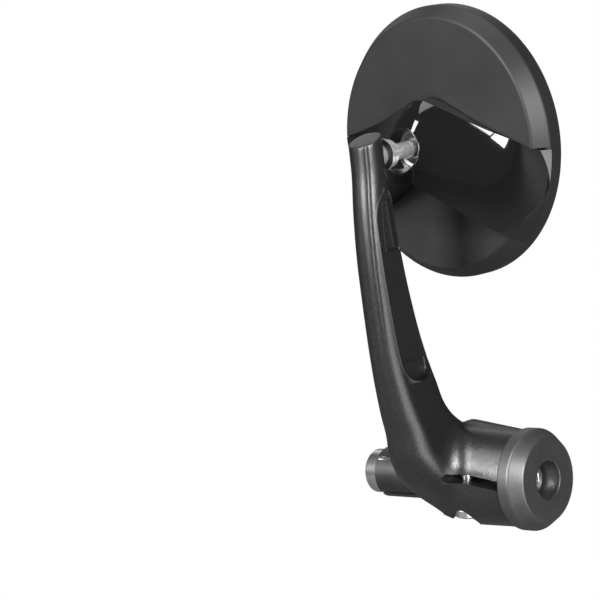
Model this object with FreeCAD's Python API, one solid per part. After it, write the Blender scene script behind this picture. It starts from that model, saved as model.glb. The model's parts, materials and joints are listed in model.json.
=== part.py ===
import FreeCAD, Part
import os
from math import cos, pi, radians, sin, sqrt, tan

# Bar-end mirror: a split clamp on a plugged bar end, a cast arm, a ball joint and a round head.
# The origin is the centre of the bar's end face: +X outward along the bar, +Y to the rider, +Z up.
Vector = FreeCAD.Vector

# Bar plug and end cap
plug_radius = 8.75
plug_length = 34.0
plug_wall_bore = 5.5
plug_slot_width = 1.5
plug_slot_length = 25.0
plug_slot_count = 4
cone_length = 5.0
cone_clearance = 0.1
nut_flange_length = 5.6
nut_flange_radius = 7.6
spigot_radius = 8.0
spigot_clearance = 0.05
cap_radius = 17.0
cap_face_radius = 13.9
cap_rim = 4.3
cap_chamfer = 4.3
counterbore_radius = 6.35
counterbore_depth = 13.2
edge_break = 0.4

# Centre screw, pinch screw and their threads
screw_radius = 3.0
screw_head_radius = 5.0
screw_head_height = 6.0
screw_socket = 5.0
screw_socket_depth = 3.2
screw_end = 2.0
washer_radius = 5.9
washer_thickness = 1.2
thread_clearance = 0.05
hole_clearance = 0.3
pinch_radius = 2.5
pinch_head_radius = 4.25
pinch_head_height = 2.8
pinch_socket = 4.0
pinch_socket_depth = 1.8
pinch_from_axis = 10.95
pinch_from_slot_end = 1.8
pinch_head_drop = 14.7
pinch_thread = 6.0
pinch_head_clearance = 0.25

# Clamp hub and arm
hub_radius = 16.0
hub_length = 24.8
hub_gap = 0.2
foot_front = 17.0
foot_back = 16.0
foot_top = 18.4
foot_bottom = 15.0
foot_corner = 12.0
foot_blend = 8.0
slot_width = 3.2
slot_length = 17.9
slot_rise = 4.0
slot_slope = 9.0
grip_radius = 15.5
elbow_radius = 30.0
elbow_tangent = 18.0
stud_height = 112.6
stud_inset = 1.0
arm_inset = 2.0
arm_forward = 28.6
arm_width = 11.2
arm_depth = 11.4
arm_top = 6.0
arm_top_slope = 21.5
groove_width = 1.6
groove_turn = 38.0
groove_rows = 9
recess_depth = 0.8
pocket_depth = 2.4
recess_land = 2.3
recess_spread = 2.4
recess_back_land = 1.6
recess_tip = 4.8
recess_back_tip = 3.0
recess_top = 0.895
recess_waist = 0.715
recess_step = 0.415
recess_foot = 0.345
slot_drop = 0.03
slot_inset = 4.2
pocket_inset = 0.3
pocket_back_inset = 2.2
pocket_close = 3.2
slot_back_inset = 0.4
boss_radius = 5.5
boss_seat = 4.4
spot_face = 0.3

# Stations of the arm, from top to foot: height as a share of the stud's height, lean as a share of
# arm_forward, then depth, width and corner radius as shares of the top's depth, width and width
arm_stations = [
    (1.100, 1.025, 0.84, 1.00, 0.42),
    (1.030, 1.020, 0.93, 1.00, 0.44),
    (0.960, 1.015, 1.01, 1.00, 0.46),
    (0.850, 1.035, 1.16, 1.00, 0.45),
    (0.725, 1.032, 1.32, 1.00, 0.42),
    (0.575, 0.993, 1.51, 1.01, 0.42),
    (0.425, 0.922, 1.75, 1.07, 0.44),
    (0.320, 0.837, 1.92, 1.20, 0.47),
    (0.230, 0.738, 2.11, 1.36, 0.55),
    (0.190, 0.645, 2.36, 1.45, 0.58),
    (0.142, 0.500, 2.94, 1.58, 0.62),
    (0.070, 0.450, 2.70, 1.76, 0.64),
    (0.018, 0.427, 2.11, 1.78, 0.64),
    (-0.035, 0.320, 1.62, 1.60, 0.56),
    (-0.090, 0.270, 1.24, 1.30, 0.45),
]

# Ball stud, lock nut and stud washer
ball_radius = 5.5
stud_radius = 3.5
neck_radius = 2.8
ball_forward = 1.5
stud_depth = 5.0
stud_washer_radius = 5.4
stud_washer_thickness = 0.6
nut_step_radius = 5.25
nut_step_length = 1.6
nut_nose_radius = 4.75
nut_nose_length = 2.4

# Ball joint: cups, socket, pressure cup, spring and plate
ball_clearance = 0.1
cup_wall = 1.2
front_cup_from = 40.0
rear_cup_to = 150.0
cup_parting = 90.0
cup_gap = 4.0
socket_wall = 1.6
socket_opening = 4.4
socket_bore_gap = 0.5
dome_wall = 1.0
flange_radius = 17.2
flange_thickness = 1.4
pressure_clearance = 0.1
pressure_floor = 0.3
spring_thickness = 0.7
spring_bore = 3.2
plate_thickness = 1.4
plate_radius = 16.5
plate_screw_radius = 1.5
plate_screw_head = 2.75
plate_screw_head_height = 1.3
plate_screw_length = 8.5
plate_screw_circle = 14.0
plate_screw_turn = 18.0
plate_screw_socket = 2.0
plate_screw_socket_depth = 0.8

# Head: shell, band and glass; the head rests turned on its ball by head_pan and head_roll
head_radius = 46.0
chamfer_width = 3.7
chamfer_depth = 5.0
rim_depth = 5.4
shell_wall = 2.0
face_from_ball = 6.0
head_pan = -5.0
head_roll = 5.4
ledge_depth = 5.0
ledge_width = 1.6
carrier_inset = 1.2
carrier_thickness = 1.4
carrier_opening = 19.0
seat_clearance = 0.2
pad_inset = 0.6
pad_thickness = 1.0
glass_thickness = 2.0
glass_curve = 1200.0
bond_gap = 0.05
seal_wall = 1.0
seal_foot = 0.6
rim_wall = 1.7
nose_height = 18.0
nose_sink = 4.0
nose_bulge = 1.0
hole_radius = 6.2
hole_taper = 6.5
band_thickness = 0.8
band_crest = 15.5
band_arch = 10.6
band_flat = 5.0
band_slope = 34.2

# Half of the band's upper edge and of the nose's ridge, from the middle outwards: the position as a share
# of head_radius, then the edge's level as a share of band_crest, or the nose's height at its upper and
# lower edges as shares of nose_height
band_upper = [(0.0, 1.0), (0.20, 0.81), (0.41, 0.54), (0.67, 0.26), (0.92, 0.03), (1.10, -0.13)]
nose_ridge = [
    (0.000, 0.390, 1.00),
    (0.060, 0.385, 1.00),
    (0.120, 0.360, 0.98),
    (0.220, 0.260, 0.81),
    (0.350, 0.170, 0.60),
    (0.480, 0.135, 0.41),
    (0.590, 0.085, 0.25),
    (0.700, 0.030, 0.11),
    (0.790, -0.035, 0.01),
    (0.900, -0.090, -0.10),
]

reach = 200.0
cap_back = hub_gap + hub_length + hub_gap
cap_front = cap_back + cap_rim + cap_chamfer
counterbore_floor = cap_front - counterbore_depth
ball_centre = Vector(-stud_inset, -ball_forward, stud_height)
cup_inner = ball_radius + ball_clearance
cup_outer = cup_inner + cup_wall
seat_radius = cup_outer + ball_clearance
socket_bore = seat_radius + socket_bore_gap
socket_radius = socket_bore + socket_wall
face_radius = head_radius - chamfer_width
rim_radius = head_radius - rim_wall
glass_radius = rim_radius - seal_wall - 2 * bond_gap
carrier_radius = glass_radius - carrier_inset
pad_radius = carrier_radius - pad_inset
ledge_radius = carrier_radius + seat_clearance - ledge_width
shell_inside = face_from_ball + shell_wall
flange_back = shell_inside + flange_thickness
plate_back = flange_back + plate_thickness
ledge = face_from_ball + ledge_depth
carrier_front = ledge + carrier_thickness
seal_seat = carrier_front + seal_foot
head_front = face_from_ball + chamfer_depth + rim_depth


def outline(points):
    return Part.Face(Part.makePolygon([Vector(*p) for p in points] + [Vector(*points[0])]))


def turned_x(points):
    # A solid of revolution about the bar's axis, from (x, radius) corners
    return outline([(x, radius, 0) for x, radius in points]).revolve(Vector(), Vector(1, 0, 0), 360)


def turned_y(points):
    # A solid of revolution about the stud's axis through the ball's centre, from (y, radius) corners
    return outline([(radius, y, 0) for y, radius in points]).revolve(Vector(), Vector(0, 1, 0), 360)


def rod(radius, start, end):
    start, end = Vector(*start), Vector(*end)
    return Part.makeCylinder(radius, (end - start).Length, start, end - start)


def hexagon(across, start, end):
    # A six-sided prism across its flats, for a key socket
    axis = (Vector(*end) - Vector(*start))
    corner_radius = across / sqrt(3)
    turns = [i * pi / 3 for i in range(7)]
    corners = [Vector(corner_radius * cos(turn), corner_radius * sin(turn), 0) for turn in turns]
    prism = Part.Face(Part.makePolygon(corners)).extrude(Vector(0, 0, axis.Length))
    prism.Placement = FreeCAD.Placement(Vector(*start), FreeCAD.Rotation(Vector(0, 0, 1), axis))
    return prism


def round_edges(shape, radius, wanted):
    return shape.makeFillet(radius, [edge for edge in shape.Edges if wanted(edge)])


def export(name, shape):
    shape.exportStep("parts/" + name + ".step")


def on_stud(shape):
    # From the ball's own frame to the part's, square with the stud
    shape.translate(ball_centre)
    return shape


def on_head(shape):
    # From the ball's own frame to the part's, turned as the head rests
    shape.rotate(Vector(), Vector(0, 1, 0), head_roll)
    shape.rotate(Vector(), Vector(0, 0, 1), head_pan)
    shape.translate(ball_centre)
    return shape


def end_cap():
    bore = screw_radius + hole_clearance
    cap = turned_x([
        (counterbore_floor, bore),
        (counterbore_floor, counterbore_radius),
        (cap_front - edge_break, counterbore_radius),
        (cap_front, counterbore_radius + edge_break),
        (cap_front, cap_face_radius),
        (cap_back + cap_rim, cap_radius),
        (cap_back, cap_radius),
        (cap_back, spigot_radius),
        (0, spigot_radius),
        (-cone_length, plug_wall_bore),
        (-cone_length, bore),
    ])
    return round_edges(cap, edge_break, lambda edge: is_circle(edge, cap_face_radius, cap_radius))


def is_circle(edge, *radii):
    return isinstance(edge.Curve, Part.Circle) and any(abs(edge.Curve.Radius - r) < 1e-6 for r in radii)


def centre_screw():
    seat = counterbore_floor + washer_thickness
    head = seat + screw_head_height
    end = -plug_length - nut_flange_length - screw_end
    screw = turned_x([
        (head, 0),
        (head, screw_head_radius - edge_break),
        (head - edge_break, screw_head_radius),
        (seat, screw_head_radius),
        (seat, screw_radius),
        (end + edge_break, screw_radius),
        (end, screw_radius - edge_break),
        (end, 0),
    ])
    return screw.cut(hexagon(screw_socket, (head - screw_socket_depth, 0, 0), (head + 1, 0, 0)))


def screw_washer():
    bore = screw_radius + hole_clearance
    seat = counterbore_floor
    return turned_x([(seat, bore), (seat, washer_radius), (seat + washer_thickness, washer_radius),
                     (seat + washer_thickness, bore)])


def expander_sleeve():
    inner = plug_wall_bore + cone_clearance
    mouth = spigot_radius + cone_clearance
    sleeve = turned_x([
        (0, mouth),
        (0, plug_radius),
        (-plug_length, plug_radius),
        (-plug_length, mouth),
        (-plug_length + cone_length, inner),
        (-cone_length, inner),
    ])
    slot = Part.makeBox(plug_slot_length + 1, plug_radius + 1, plug_slot_width,
                        Vector(-plug_length - 1, 0, -plug_slot_width / 2))
    for i in range(plug_slot_count):
        turned = slot.copy()
        turned.rotate(Vector(), Vector(1, 0, 0), 45 + i * 360 / plug_slot_count)
        sleeve = sleeve.cut(turned)
    return sleeve


def cone_nut():
    bore = screw_radius + thread_clearance
    back = -plug_length - cone_clearance
    return turned_x([
        (back + cone_length, bore),
        (back + cone_length, plug_wall_bore),
        (back, spigot_radius - cone_clearance),
        (back, nut_flange_radius),
        (-plug_length - nut_flange_length, nut_flange_radius),
        (-plug_length - nut_flange_length, bore),
    ])


def station(row):
    # Height, front and back along Y, half width and corner radius of the arm at one station
    height, lean, depth, width, corner = row
    middle = -arm_forward * lean
    half = arm_depth * depth / 2
    return stud_height * height, middle - half, middle + half, arm_width * width / 2, arm_width * corner


def rounded_ring(left, right, low, high, corner, place):
    # A rounded rectangle as a closed wire; place puts its two coordinates into space
    bend = corner * (1 - sqrt(0.5))
    sides = []
    for (u, v), (pu, pv), (nu, nv) in (
            ((left, low), (1, 0), (0, 1)), ((right, low), (0, 1), (-1, 0)),
            ((right, high), (-1, 0), (0, -1)), ((left, high), (0, -1), (1, 0))):
        start = place(u + nu * corner, v + nv * corner)
        middle = place(u + (pu + nu) * bend, v + (pv + nv) * bend)
        end = place(u + pu * corner, v + pv * corner)
        sides.append((start, middle, end))
    edges = []
    for i, (start, middle, end) in enumerate(sides):
        edges.append(Part.Arc(start, middle, end).toShape())
        edges.append(Part.LineSegment(end, sides[(i + 1) % 4][0]).toShape())
    return Part.Wire(edges)


def arm_section(row):
    z, front, back, half, corner = station(row)
    left, right = -arm_inset - half, -arm_inset + half
    return rounded_ring(left, right, front, back, corner, lambda x, y: Vector(x, y, z))


def hub():
    # The clamp hub: fuller at the arm's foot, and round where it meets the cap
    foot, end = hub_gap, hub_gap + hub_length
    round_corner = hub_radius - edge_break / 4
    inner = rounded_ring(-foot_front, foot_back, -foot_bottom, foot_top, foot_corner,
                         lambda y, z: Vector(foot, y, z))
    outer = rounded_ring(-hub_radius, hub_radius, -hub_radius, hub_radius, round_corner,
                         lambda y, z: Vector(end, y, z))
    return Part.makeLoft([inner, outer], True, True)


def groove_section(row):
    # A small square on its corner, astride the front outer corner of the arm
    z, front, back, half, corner = station(row)
    turn = radians(groove_turn)
    x = -arm_inset + half - corner + corner * sin(turn)
    y = front + corner - corner * cos(turn)
    size = groove_width / 2
    ring = [(x + size * cos(i * pi / 2), y + size * sin(i * pi / 2), z) for i in range(5)]
    return Part.makePolygon([Vector(*p) for p in ring])


def between(z, index):
    # A station's value at any height: a cubic through the four nearest stations
    near = sorted([station(row) for row in arm_stations], key=lambda row: abs(row[0] - z))[:4]
    total = 0
    for row in near:
        value = row[index]
        for other in near:
            if other is not row:
                value *= (z - other[0]) / (row[0] - other[0])
        total += value
    return total


def flank_pocket(rows):
    # A pocket in the outer flank, lofted through rows of (height, front inset, back inset, depth)
    rings = []
    for z, front_inset, back_inset, depth in rows:
        flank = -arm_inset + between(z, 3)
        front, back = between(z, 1) + front_inset, between(z, 2) - back_inset
        floor, mouth = flank - depth, flank + arm_width
        corners = [(floor, front), (mouth, front), (mouth, back), (floor, back)]
        rings.append(Part.makePolygon([Vector(x, y, z) for x, y in corners + corners[:1]]))
    return Part.makeLoft(rings, True)


def at_foot(edge):
    # The corner where the arm's flank meets the hub
    box = edge.BoundBox
    on_hub = box.XMin > hub_gap + edge_break and box.XMax < hub_gap + hub_length - edge_break
    return on_hub and box.ZMax < foot_top + edge_break


def arm():
    body = Part.makeLoft([arm_section(row) for row in arm_stations], True)
    body = body.cut(rod(grip_radius, (-reach, 0, 0), (hub_gap, 0, 0)))
    body = round_edges(body.fuse(hub()), foot_blend, at_foot)

    elbow_centre = elbow_radius - hub_radius
    low_corner = Vector(elbow_tangent - reach, -reach, elbow_centre - reach)
    corner = Part.makeBox(reach, 2 * reach, reach, low_corner)
    corner = corner.cut(rod(elbow_radius, (elbow_tangent, -reach, elbow_centre),
                            (elbow_tangent, reach, elbow_centre)))
    body = body.cut(corner)

    boss_end = -arm_forward + boss_seat
    seat_centre = (-stud_inset, boss_end, stud_height)
    body = body.fuse(rod(boss_radius, (-stud_inset, -arm_forward, stud_height), seat_centre))
    body = body.cut(rod(boss_radius + spot_face, seat_centre, (-stud_inset, 0, stud_height)))

    lid = Part.makeBox(2 * reach, 2 * reach, reach, Vector(-reach, -reach, 0))
    lid.rotate(Vector(), Vector(1, 0, 0), arm_top_slope)
    lid.translate(Vector(0, -arm_forward, stud_height + arm_top))
    body = body.cut(lid)

    body = body.cut(Part.makeLoft([groove_section(row) for row in arm_stations[:groove_rows]], True))
    for pocket in flank_pockets():
        body = body.cut(pocket)
    stud_hole = rod(stud_radius + thread_clearance, (-stud_inset, boss_end + 1, stud_height),
                    (-stud_inset, boss_end - stud_depth - screw_end, stud_height))
    body = body.cut(stud_hole)
    body = body.cut(rod(spigot_radius + spigot_clearance, (-reach, 0, 0), (reach, 0, 0)))
    for tool in clamp_tools():
        body = body.cut(tool)
    return body.removeSplitter()


def flank_pockets():
    # A long shallow recess with a pointed top, a deep slot in its upper end, a deep pocket at its foot
    shares = (recess_top, recess_waist, recess_step, recess_foot)
    top, waist, step, foot = [share * stud_height for share in shares]

    def land(z):
        return recess_land + recess_spread * (top - z) / (top - foot)

    recess, upper, lower = [], [], []
    for i in range(25):
        share = i / 24
        z = foot + (top - foot) * share
        tip = max(0, (share - 0.8) / 0.2)
        fade = min(1, share * (top - foot) / (step - foot))
        recess.append((z, land(z) + recess_tip * tip ** 3, recess_back_land + recess_back_tip * tip ** 6,
                       recess_depth * (1.3 * fade - 0.3)))
    for i in range(7):
        share = i / 6
        z = waist + (top * (1 - slot_drop) - waist) * share
        ramp = min(1, 4 * share)
        upper.append((z, land(z) + slot_inset, recess_back_land + slot_back_inset,
                      recess_depth + (pocket_depth - recess_depth) * ramp))
    for i in range(7):
        share = i / 6
        z = foot + (step - foot) * share
        close = (1 - share) ** 2
        lower.append((z, land(z) + pocket_inset + pocket_close * close,
                      recess_back_land + pocket_back_inset + pocket_close * close, pocket_depth))
    return flank_pocket(recess), flank_pocket(upper), flank_pocket(lower)


def on_slot(shape):
    # From the clamp slot's own frame, with the slot's end at its origin, to the part's
    shape.rotate(Vector(), Vector(0, 1, 0), slot_slope)
    shape.translate(Vector(hub_gap + hub_length - slot_length, 0, slot_rise))
    return shape


def clamp_tools():
    # The slot on the bore's front side, and the pinch screw's holes across it
    half = slot_width / 2
    slot = Part.makeBox(reach, reach, slot_width, Vector(half, -reach, -half))
    slot = on_slot(slot.fuse(rod(half, (half, -reach, 0), (half, 0, 0))))
    x, y = pinch_from_slot_end, -pinch_from_axis
    seat = pinch_head_height - pinch_head_drop
    head = rod(pinch_head_radius + pinch_head_clearance, (x, y, -reach), (x, y, seat))
    clear = rod(pinch_radius + hole_clearance, (x, y, seat - 1), (x, y, 0))
    thread = rod(pinch_radius + thread_clearance, (x, y, 0), (x, y, pinch_thread + 1))
    return slot, on_slot(head), on_slot(clear), on_slot(thread)


def pinch_screw():
    x, y = pinch_from_slot_end, -pinch_from_axis
    head = -pinch_head_drop
    seat = head + pinch_head_height
    screw = rod(pinch_head_radius, (x, y, head), (x, y, seat))
    screw = screw.fuse(rod(pinch_radius, (x, y, seat), (x, y, pinch_thread)))
    screw = round_edges(screw, edge_break,
                        lambda edge: is_circle(edge, pinch_head_radius) and edge.CenterOfMass.z < seat - 1)
    return on_slot(screw.cut(hexagon(pinch_socket, (x, y, head + pinch_socket_depth), (x, y, head - 1))))


def stud_stack():
    # Distances along the stud from the ball's centre: boss, washer, nut step and nut nose
    seat = arm_forward - boss_seat - ball_forward
    washer = seat - stud_washer_thickness
    step = washer - nut_step_length
    return seat, washer, step, step - nut_nose_length


def stud_washer():
    seat, washer, step, nose = stud_stack()
    bore = stud_radius + hole_clearance
    rim = stud_washer_radius
    return on_stud(turned_y([(-seat, bore), (-seat, rim), (-washer, rim), (-washer, bore)]))


def lock_nut():
    seat, washer, step, nose = stud_stack()
    bore = stud_radius + thread_clearance
    return on_stud(turned_y([
        (-washer, bore),
        (-washer, nut_step_radius - edge_break),
        (-washer + edge_break, nut_step_radius),
        (-step - edge_break, nut_step_radius),
        (-step, nut_step_radius - edge_break),
        (-step, nut_nose_radius),
        (-nose - edge_break, nut_nose_radius),
        (-nose, nut_nose_radius - edge_break),
        (-nose, bore),
    ]))


def ball_stud():
    seat, washer, step, nose = stud_stack()
    end = seat + stud_depth
    neck = sqrt(ball_radius ** 2 - neck_radius ** 2)
    ball = Part.makeSphere(ball_radius)
    shank = turned_y([
        (0, 0),
        (0, neck_radius),
        (-nose, neck_radius),
        (-nose, stud_radius),
        (-end + edge_break, stud_radius),
        (-end, stud_radius - edge_break),
        (-end, 0),
    ])
    flat = Part.makeBox(reach, reach, reach, Vector(-reach / 2, neck, -reach / 2))
    return on_stud(ball.cut(flat).fuse(shank).removeSplitter())


def spherical_ring(inner, outer, start, end):
    # A band of a spherical shell between two angles from the stud's side of its axis
    corners = []
    for radius in (inner, outer):
        corners.append([Vector(radius * sin(radians(a)), -radius * cos(radians(a)), 0)
                        for a in (start, (start + end) / 2, end)])
    inside, outside = corners
    wire = Part.Wire([
        Part.Arc(*inside).toShape(),
        Part.LineSegment(inside[2], outside[2]).toShape(),
        Part.Arc(*outside[::-1]).toShape(),
        Part.LineSegment(outside[0], inside[0]).toShape(),
    ])
    return Part.Face(wire).revolve(Vector(), Vector(0, 1, 0), 360)


def front_cup():
    return on_stud(spherical_ring(cup_inner, cup_outer, front_cup_from, cup_parting - cup_gap))


def rear_cup():
    return on_stud(spherical_ring(cup_inner, cup_outer, cup_parting + cup_gap, rear_cup_to))


def screw_places():
    turn = radians(plate_screw_turn)
    x, z = plate_screw_circle * cos(turn), plate_screw_circle * sin(turn)
    return [(x, z), (-x, z), (-x, -z), (x, -z)]


def drill(shape, radius, start, end):
    for x, z in screw_places():
        shape = shape.cut(rod(radius, (x, start, z), (x, end, z)))
    return shape


def ball_socket():
    socket = turned_y([
        (flange_back, socket_bore),
        (flange_back, flange_radius),
        (shell_inside, flange_radius),
        (shell_inside, socket_radius),
        (0, socket_radius),
        (0, 0),
        (socket_bore_gap, 0),
        (socket_bore_gap, socket_bore),
    ])
    cover = Part.makeSphere(seat_radius + dome_wall)
    cover = cover.common(rod(reach, (0, -socket_opening, 0), (0, 0, 0)))
    socket = socket.fuse(cover).cut(Part.makeSphere(seat_radius))
    return on_head(drill(socket, plate_screw_radius + hole_clearance, 0, plate_back))


def pressure_cup():
    radius = socket_bore - pressure_clearance
    back = seat_radius + pressure_floor
    cup = turned_y([(2 * socket_bore_gap, 0), (2 * socket_bore_gap, radius), (back, radius), (back, 0)])
    cup = cup.cut(Part.makeSphere(seat_radius))
    return on_head(cup.cut(rod(spring_bore, (0, 0, 0), (0, reach, 0))))


def disc_spring():
    back = seat_radius + pressure_floor
    outer = socket_bore - 4 * pressure_clearance
    return on_head(turned_y([
        (back, outer),
        (back + spring_thickness, outer),
        (flange_back, spring_bore),
        (flange_back - spring_thickness, spring_bore),
    ]))


def pressure_plate():
    rim = plate_radius
    plate = turned_y([(flange_back, 0), (flange_back, rim), (plate_back, rim), (plate_back, 0)])
    return on_head(drill(plate, plate_screw_radius + hole_clearance, 0, reach))


def plate_screws():
    top = plate_back + plate_screw_head_height
    screws = []
    for x, z in screw_places():
        screw = rod(plate_screw_head, (x, plate_back, z), (x, top, z))
        tip = plate_back - plate_screw_length
        screw = screw.fuse(rod(plate_screw_radius, (x, tip, z), (x, plate_back, z)))
        floor = top - plate_screw_socket_depth
        screws.append(screw.cut(hexagon(plate_screw_socket, (x, floor, z), (x, top + 1, z))))
    return on_head(Part.makeCompound(screws))


def back_body(grow):
    # The outside of the head's back as a solid, grown outwards by an even skin
    slope = (head_radius - face_radius) / chamfer_depth
    lean = grow * (sqrt(1 + slope ** 2) - 1) / slope
    return [
        (face_from_ball - grow, 0),
        (face_from_ball - grow, face_radius + grow * (sqrt(1 + slope ** 2) - slope)),
        (face_from_ball + chamfer_depth - lean, head_radius + grow),
    ]


def back_shell():
    rim = rim_radius
    shell = turned_y(back_body(0)[1:] + [
        (head_front, head_radius),
        (head_front, rim),
        (seal_seat, rim),
        (seal_seat, carrier_radius + seat_clearance),
        (ledge, carrier_radius + seat_clearance),
        (ledge, ledge_radius),
        (shell_inside + 1, ledge_radius),
        (shell_inside, ledge_radius - 1),
        (shell_inside, socket_radius + ball_clearance),
        (face_from_ball, socket_radius + ball_clearance),
    ])
    shell = round_edges(shell, edge_break, lambda edge: is_circle(edge, face_radius, head_radius))
    return on_head(drill(shell, plate_screw_radius + hole_clearance, 0, reach))


def level(rows, x, column):
    # A value read off rows of (position, value, ...) by straight lines between them
    for low, high in zip(rows, rows[1:]):
        if low[0] <= x <= high[0]:
            return low[column] + (high[column] - low[column]) * (x - low[0]) / (high[0] - low[0])
    raise ValueError("position outside the rows")


def mirrored(rows):
    return [(-1, row) for row in rows[:0:-1]] + [(1, row) for row in rows]


def lower_edge(x):
    # The band's lower edge: level under the nose, then a straight slope down to each end
    return -band_arch - max(0, abs(x) - band_flat) * tan(radians(band_slope))


def band_outline():
    # The wing seen square on: an arched upper edge, a roof-shaped lower edge, and ends past the rim
    upper = [Vector(side * row[0] * head_radius, 0, row[1] * band_crest)
             for side, row in mirrored(band_upper)]
    top = Part.BSplineCurve()
    top.interpolate(upper)
    end = upper[-1].x
    lower = [Vector(x, 0, lower_edge(x)) for x in (end, band_flat, -band_flat, -end)]
    sides = [Part.LineSegment(a, b).toShape() for a, b in zip([upper[-1]] + lower, lower + [upper[0]])]
    return Part.Face(Part.Wire([top.toShape()] + sides))


def nose_section(x, crest, ridge):
    # A slice across the nose: a bulged ramp from its upper to its lower edge, over a flat foot
    upper = band_crest * level(band_upper, abs(x) / head_radius, 1)
    lower = lower_edge(x)
    ramp_points = []
    for share in (-0.1, 0.1, 0.3, 0.6, 0.85, 1.1):
        rise = share * (1 + nose_bulge - nose_bulge * share)
        height = crest + (ridge - crest) * rise
        ramp_points.append(nose_point(x, upper + (lower - upper) * share, height))
    ramp = Part.BSplineCurve()
    ramp.interpolate(ramp_points)
    start, end = ramp_points[0], ramp_points[-1]
    foot = [nose_point(x, end.z, -nose_sink), nose_point(x, start.z, -nose_sink)]
    corners = [end] + foot + [start]
    sides = [Part.LineSegment(a, b).toShape() for a, b in zip(corners, corners[1:])]
    return Part.Wire([ramp.toShape()] + sides)


def nose_point(x, z, height):
    return Vector(x, face_from_ball - height, z)


def gloss_band():
    prism = band_outline().extrude(Vector(0, reach, 0))
    prism.translate(Vector(0, -reach / 2, 0))
    back = face_from_ball + chamfer_depth
    skin = turned_y(back_body(band_thickness) + [(back, head_radius + band_thickness), (back, 0)])
    sections = []
    for side, (place, crest, ridge) in mirrored(nose_ridge):
        sections.append(nose_section(side * place * head_radius, crest * nose_height, ridge * nose_height))
    nose = Part.makeLoft(sections, True)
    nose = nose.common(rod(face_radius, (0, -reach, 0), (0, face_from_ball + chamfer_depth, 0)))
    band = skin.common(prism).fuse(nose.common(prism))
    body = turned_y(back_body(0) + [(head_front, head_radius), (head_front, 0)])
    room = 3 * ball_clearance
    cavity = rod(socket_radius + room, (0, -room, 0), (0, head_front, 0))
    cover = Part.makeSphere(seat_radius + dome_wall + room)
    cavity = cavity.fuse(cover.common(rod(reach, (0, -socket_opening - room, 0), (0, 0, 0))))
    mouth = hole_radius + reach * tan(radians(hole_taper))
    cavity = cavity.fuse(Part.makeCone(hole_radius, mouth, reach, Vector(), Vector(0, -1, 0)))
    band = band.cut(body).cut(cavity)
    screw_tip = plate_back - plate_screw_length - 1
    return on_head(drill(band, plate_screw_radius + thread_clearance, screw_tip, reach))


def dome(y_edge, radius):
    # Height of the glass's curve over its own edge, at a distance from its axis
    return y_edge + sqrt(glass_curve ** 2 - radius ** 2) - sqrt(glass_curve ** 2 - glass_radius ** 2)


def domed_disc(radius, back, front):
    # A disc whose back and front are flat (a number) or follow the glass (a function of the radius)
    def edge(side):
        if callable(side):
            return Part.Arc(*[Vector(r, side(r), 0) for r in (0, radius / 2, radius)]).toShape()
        return Part.LineSegment(Vector(0, side, 0), Vector(radius, side, 0)).toShape()

    low, high = edge(back), edge(front)
    wall = Part.LineSegment(low.Vertexes[-1].Point, high.Vertexes[-1].Point).toShape()
    axis = Part.LineSegment(low.Vertexes[0].Point, high.Vertexes[0].Point).toShape()
    wire = Part.Wire(Part.sortEdges([low, wall, high, axis])[0])
    return Part.Face(wire).revolve(Vector(), Vector(0, 1, 0), 360)


def glass_edge():
    return carrier_front + pad_thickness + 2 * bond_gap


def glass_carrier():
    return on_head(turned_y([
        (ledge, carrier_opening),
        (ledge, carrier_radius),
        (carrier_front, carrier_radius),
        (carrier_front, carrier_opening),
    ]))


def glass_pad():
    back = carrier_front + bond_gap
    return on_head(domed_disc(pad_radius, back, lambda r: dome(glass_edge() - bond_gap, r)))


def mirror_glass():
    return on_head(domed_disc(glass_radius, lambda r: dome(glass_edge(), r),
                              lambda r: dome(glass_edge() + glass_thickness, r)))


def glass_seal():
    rim = rim_radius - bond_gap
    inner = glass_radius + bond_gap
    return on_head(turned_y([
        (seal_seat, carrier_radius + seat_clearance),
        (seal_seat, rim),
        (glass_edge() + glass_thickness, rim),
        (glass_edge() + glass_thickness, inner),
        (glass_edge() - bond_gap, inner),
        (glass_edge() - bond_gap, carrier_radius + seat_clearance),
    ]))


os.makedirs("parts", exist_ok=True)
for piece in (end_cap, centre_screw, screw_washer, expander_sleeve, cone_nut, arm, pinch_screw,
              stud_washer, lock_nut, ball_stud, front_cup, rear_cup, ball_socket, pressure_cup,
              disc_spring, pressure_plate, plate_screws, back_shell, gloss_band, glass_carrier,
              glass_pad, mirror_glass, glass_seal):
    export(piece.__name__, piece())
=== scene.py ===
import json
from math import pi, radians, sqrt, tan

import bmesh
import bpy
import numpy as np
from mathutils import Matrix, Vector


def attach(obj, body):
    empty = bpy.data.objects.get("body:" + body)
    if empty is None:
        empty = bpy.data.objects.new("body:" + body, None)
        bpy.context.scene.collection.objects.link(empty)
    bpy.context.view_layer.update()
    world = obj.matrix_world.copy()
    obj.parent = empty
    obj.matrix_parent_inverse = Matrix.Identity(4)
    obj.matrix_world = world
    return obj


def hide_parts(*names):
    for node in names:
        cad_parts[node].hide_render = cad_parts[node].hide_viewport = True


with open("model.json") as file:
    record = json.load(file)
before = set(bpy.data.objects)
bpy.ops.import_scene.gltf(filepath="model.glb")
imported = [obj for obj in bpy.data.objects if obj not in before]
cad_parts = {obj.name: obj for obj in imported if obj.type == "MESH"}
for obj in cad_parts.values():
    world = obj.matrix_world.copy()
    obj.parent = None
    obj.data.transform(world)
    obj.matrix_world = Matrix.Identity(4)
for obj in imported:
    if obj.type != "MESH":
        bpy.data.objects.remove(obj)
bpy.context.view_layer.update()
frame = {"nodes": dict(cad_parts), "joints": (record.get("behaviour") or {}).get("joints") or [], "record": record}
nodes = frame["nodes"]
mm = 0.001
print("frame loaded:", len(nodes), "pieces")


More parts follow.
